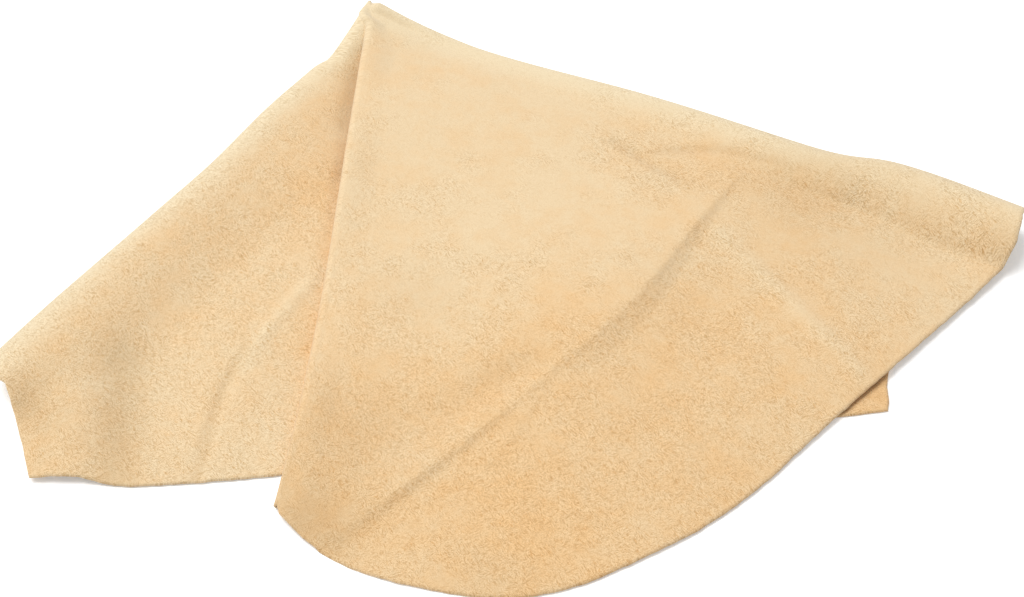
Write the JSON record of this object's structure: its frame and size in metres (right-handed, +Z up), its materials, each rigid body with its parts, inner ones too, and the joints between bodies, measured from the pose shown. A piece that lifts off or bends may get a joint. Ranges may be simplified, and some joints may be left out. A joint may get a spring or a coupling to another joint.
{
  "type": "chamois leather",
  "caption": "Soft suede-faced chamois leather for drying and polishing, a thin skin folded as a loose fan from its top corner with rolled folds and a hidden tuck.",
  "frame": {"origin": "on the table plane, under the middle of the folded skin's bounding box", "axes": "+X to the right along the folded skin's longest side, +Y to the back, +Z up off the table"},
  "size_m": [0.4482, 0.3454, 0.0199],
  "materials": {
    "leather": "suede nap on both sides, matte"
  },
  "bodies": {
    "base": {"base_panel": "leather", "right_fold_lower": "leather", "left_fold_upper": "leather"},
    "front": {"right_fold_upper": "leather", "front_flap": "leather", "pleat_fold_upper": "leather"},
    "tuck": {"pleat_fold_lower": "leather", "tuck_panel": "leather"},
    "turn_under": {"left_fold_lower": "leather", "turned_under_strip": "leather"}
  },
  "joints": [
    {"name": "front_flap_fold", "type": "hinge", "parent": "base", "child": "front", "pos_m": [-0.07378, 0.17704, 0.0028], "axis": [-0.9024, 0.4304, -0.0206], "range_deg": [0, 170]},
    {"name": "tuck_fold", "type": "hinge", "parent": "front", "child": "tuck", "pos_m": [-0.07464, 0.17655, 0.0036], "axis": [0.0837, 0.9965, -0.0013], "range_deg": [0, 170]},
    {"name": "turn_under_fold", "type": "hinge", "parent": "base", "child": "turn_under", "pos_m": [-0.07454, 0.17683, 0.0018], "axis": [0.5533, 0.8328, -0.0187], "range_deg": [0, 170]}
  ],
  "couplings": [
    {"joint": "tuck_fold", "follows": "front_flap_fold", "ratio": 1}
  ]
}
